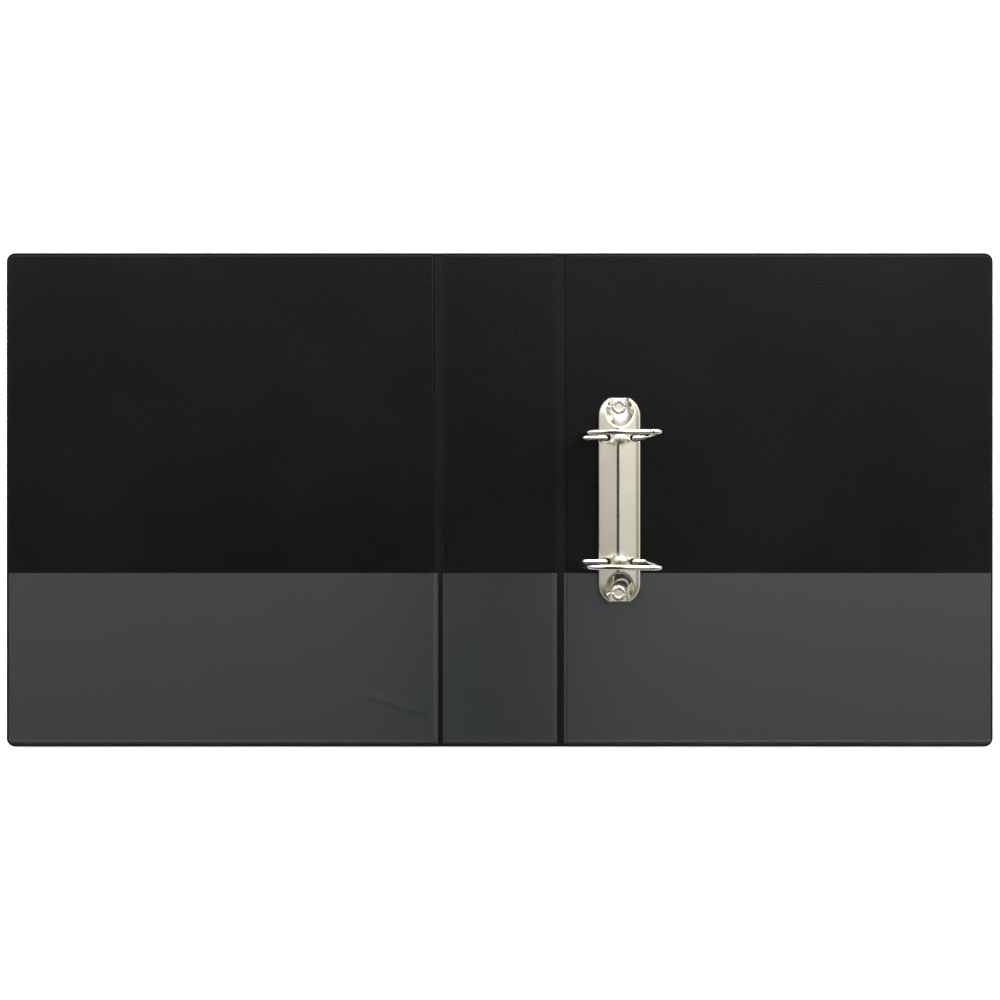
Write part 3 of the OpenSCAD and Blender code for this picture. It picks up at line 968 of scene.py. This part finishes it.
def rivet_profile():
    """Half section from the outer head up to the rolled flange, then down the hollow."""
    seat = MECH_Z + PLATE_T
    outside = [(0, 0), (HEAD_R - 0.3 * mm, 0), (HEAD_R - 0.1 * mm, 0.08 * mm),
               (HEAD_R, 0.25 * mm), (HEAD_R, HEAD_T - 0.05 * mm), (HEAD_R - 0.05 * mm, HEAD_T),
               (SHANK_R, HEAD_T), (SHANK_R, seat - 0.02 * mm)]
    middle = (HEAD_R + HOLLOW_R) / 2
    half = (HEAD_R - HOLLOW_R) / 2
    roll = [(middle + half * math.cos(a), seat + HEAD_T * math.sin(a))
            for a in (math.pi * i / ROLL_SIDES for i in range(ROLL_SIDES + 1))]
    inside = [(HOLLOW_R, seat - 0.6 * mm), (HOLLOW_R, HOLLOW_FLOOR + 0.2 * mm),
              (HOLLOW_R - 0.3 * mm, HOLLOW_FLOOR), (0, HOLLOW_FLOOR)]
    return outside + [(HEAD_R, seat)] + roll[1:] + inside


def rivet(name, ring_y):
    bm = bmesh.new()
    points = rivet_profile()
    verts = [bm.verts.new((MECH_X + r, ring_y, z)) for r, z in points]
    edges = [bm.edges.new(pair) for pair in zip(verts, verts[1:])]
    bmesh.ops.spin(bm, geom=verts + edges, cent=(MECH_X, ring_y, 0), axis=(0, 0, 1),
                   angle=2 * math.pi, steps=RIVET_SIDES, use_merge=True, use_normal_flip=False)
    bmesh.ops.remove_doubles(bm, verts=bm.verts, dist=1e-6)
    seat = MECH_Z + PLATE_T
    for vert in bm.verts:
        reach = vert.co - Vector((MECH_X, ring_y, vert.co.z))
        if vert.co.z > seat + 0.02 * mm and reach.length > HOLLOW_R * 0.9:
            angle = math.atan2(reach.y, reach.x)
            split = 0.5 + 0.5 * math.cos(angle * SPLITS + SPLIT_TURN)
            cut = split ** SPLIT_POWER
            out = smooth_step(HOLLOW_R, HEAD_R, reach.length)
            vert.co.z = seat + (vert.co.z - seat) * (1 - SPLIT_DEPTH * cut * out)
            vert.co.x -= reach.x * SPLIT_PULL * cut * out
            vert.co.y -= reach.y * SPLIT_PULL * cut * out
    bmesh.ops.recalc_face_normals(bm, faces=bm.faces)
    piece = piece_from(bm, name + "_turned", RIVET_NICKEL, "back_cover", sharp=45)
    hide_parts(name)


rivet("upper_rivet", RIVET_Y)
rivet("lower_rivet", -RIVET_Y)


# ---------- parts kept from the frame ----------

def repaint(node, material):
    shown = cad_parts[node]
    shown.data.materials.clear()
    shown.data.materials.append(material)


for node in ("front_board", "spine_board", "back_board"):
    repaint(node, GREYBOARD)
for node in ("left_hinge_plate", "right_hinge_plate"):
    repaint(node, PLATED_STEEL)


# ---------- floor, light and camera ----------

def stage_piece(bm, name, material):
    """Part of the studio, which isn't a piece of the binder."""
    piece = piece_from(bm, name, material)
    return piece


def stage_sheet(name, material, low_x, high_x, half_y, z):
    bm = bmesh.new()
    for vert in sheet_grid(bm, [low_x, high_x], [-half_y, half_y]):
        vert.co.z = z
    return stage_piece(bm, name, material)


def studio_paint(name, shade, glow=0.0, roughness=1.0, specular=0.0):
    """A grey of this shade, which also glows white by this strength."""
    paint = Finish(name, Roughness=roughness, Specular_IOR_Level=specular,
                   Emission_Strength=glow)
    paint.shader.inputs["Base Color"].default_value = (shade, shade, shade, 1)
    paint.shader.inputs["Emission Color"].default_value = (1, 1, 1, 1)
    return paint.material


FLOOR_HALF = 3
FLOOR_Z = -0.2 * mm
FLOOR_SHADE = 0.93
FLOOR_GLOW = 0.25
floor_paint = studio_paint("pale_floor", FLOOR_SHADE, FLOOR_GLOW, roughness=0.9, specular=0.1)
stage_sheet("floor", floor_paint, -FLOOR_HALF, FLOOR_HALF, FLOOR_HALF, FLOOR_Z)

# A pale backdrop all round, which gives no light of its own to the binder
BACKDROP_R = 9
BACKDROP_GLOW = 0.86
backdrop_paint = studio_paint("pale_backdrop", 0.0, BACKDROP_GLOW)
backdrop_bm = bmesh.new()
bmesh.ops.create_uvsphere(backdrop_bm, u_segments=32, v_segments=16, radius=BACKDROP_R)
backdrop = stage_piece(backdrop_bm, "backdrop", backdrop_paint)
backdrop.visible_diffuse = False
backdrop.visible_glossy = False
backdrop.visible_transmission = False
backdrop.visible_shadow = False

# A dark strip of ceiling over the camera, between the bright left and right halves
STRIP_LOW_X = -0.30
STRIP_HIGH_X = 0.25
STRIP_HALF_Y = 6
STRIP_SHADE = 0.03
CEILING_Z = 3
strip_paint = studio_paint("dark_strip", STRIP_SHADE)
strip = stage_sheet("ceiling_strip", strip_paint, STRIP_LOW_X, STRIP_HIGH_X, STRIP_HALF_Y,
                    CEILING_Z)
strip.visible_camera = False

# The studio's light by direction: left and right halves, brighter towards the far
# side with a large light there, and dim at the horizon
LEFT_GLOW = 0.78
RIGHT_GLOW = 1.02
SIDE_SPLIT_X = -0.02
SIDE_BLEND = 0.05
FAR_TO_MIDDLE = 9.0
LIFT_GLOW = 5.5
LIFT_LOW_Y = 0.22
LIFT_HIGH_Y = 0.75
LIFT_X = 0.08
LIFT_REACH = 0.62
HORIZON_SHARE = 0.2
HORIZON_TOP_Z = 0.3


def studio_world():
    world = bpy.data.worlds.new("studio")
    world.use_nodes = True
    tree = world.node_tree
    place = tree.nodes.new("ShaderNodeTexCoord")
    parts = tree.nodes.new("ShaderNodeSeparateXYZ")
    tree.links.new(place.outputs["Generated"], parts.inputs[0])
    x, y, z = parts.outputs
    sides = add_range(tree, x, SIDE_SPLIT_X - SIDE_BLEND, SIDE_SPLIT_X + SIDE_BLEND,
                      LEFT_GLOW, RIGHT_GLOW)
    slope = add_math(tree, "POWER", FAR_TO_MIDDLE, y)
    rise = add_range(tree, y, LIFT_LOW_Y, LIFT_HIGH_Y, 0.0, LIFT_GLOW)
    off_middle = add_math(tree, "ABSOLUTE", add_math(tree, "SUBTRACT", x, LIFT_X))
    fade = add_range(tree, off_middle, 0.0, LIFT_REACH, 1.0, 0.0)
    lift = add_math(tree, "MULTIPLY", rise, fade)
    horizon = add_range(tree, z, 0.0, HORIZON_TOP_Z, HORIZON_SHARE, 1.0)
    total = add_math(tree, "MULTIPLY", sides, add_math(tree, "ADD", slope, lift))
    total = add_math(tree, "MULTIPLY", total, horizon)
    tree.links.new(total, tree.nodes["Background"].inputs["Strength"])
    tree.nodes["Background"].inputs["Color"].default_value = (1, 1, 1, 1)
    bpy.context.scene.world = world


studio_world()

# A weak softbox beyond the binder's upper edge, turned down towards it
SOFTBOX_W = 1.6
SOFTBOX_H = 0.5
SOFTBOX_WATTS = 2.0
SOFTBOX_PLACE = (0, 1.3, 1.1)
SOFTBOX_PITCH = math.radians(-50)
lamp = bpy.data.lights.new("far_softbox", "AREA")
lamp.shape = "RECTANGLE"
lamp.size = SOFTBOX_W
lamp.size_y = SOFTBOX_H
lamp.energy = SOFTBOX_WATTS
softbox = bpy.data.objects.new("far_softbox", lamp)
softbox.location = SOFTBOX_PLACE
softbox.rotation_euler = (SOFTBOX_PITCH, 0, 0)
bpy.context.scene.collection.objects.link(softbox)

# The camera looks straight down on the open binder
CAMERA_PLACE = (0.16 * mm, -0.13 * mm, 555 * mm)
CAMERA_LENS = 30.35
SENSOR_W = 36
camera = bpy.data.cameras.new("camera")
camera.sensor_width = SENSOR_W
camera.lens = CAMERA_LENS
camera.clip_start = 0.01
eye = bpy.data.objects.new("camera", camera)
eye.location = CAMERA_PLACE
bpy.context.scene.collection.objects.link(eye)
bpy.context.scene.camera = eye

bpy.context.scene.view_settings.view_transform = "Standard"
bpy.context.scene.view_settings.look = "None"
